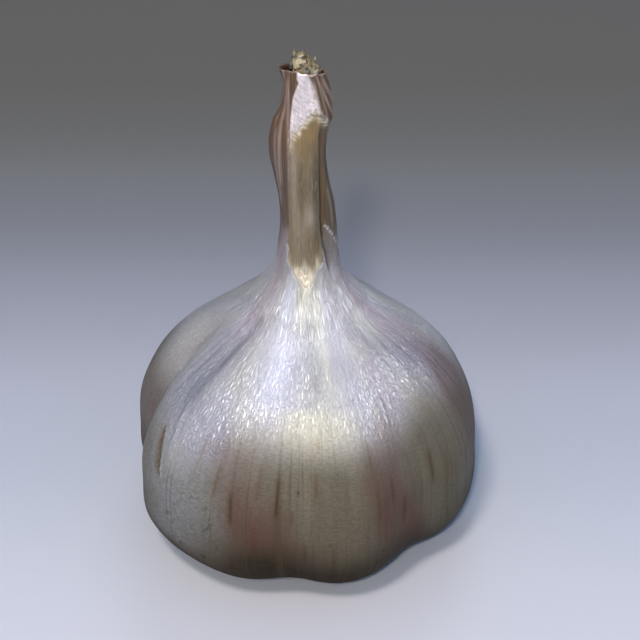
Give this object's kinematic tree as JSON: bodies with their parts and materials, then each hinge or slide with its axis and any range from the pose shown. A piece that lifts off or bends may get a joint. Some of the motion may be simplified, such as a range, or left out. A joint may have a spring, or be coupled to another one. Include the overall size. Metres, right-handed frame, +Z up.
{
  "type": "garlic bulb",
  "caption": "Whole garlic bulb in its papery skin, lobed by its cloves, with a long dry neck that is torn open in front and a trimmed root plate to rest on.",
  "frame": {"origin": "centre of the flat resting face under the root plate", "axes": "+Z up along the neck, -Y towards the front, where the neck skin is torn open, +X to the right seen from the front"},
  "size_m": [0.0604, 0.0591, 0.0914],
  "materials": {
    "garlic_skin": "pearly white papery skin with fine lengthwise veins, violet between the cloves and olive low down",
    "dry_stem": "dry tan and olive fibrous stalk, satin, broken off unevenly at its end",
    "root_plate": "dull brown corky plate with trimmed dry roots"
  },
  "bodies": {
    "root": {"bulb": "garlic_skin", "stem": "dry_stem", "root_plate": "root_plate"}
  },
  "joints": []
}
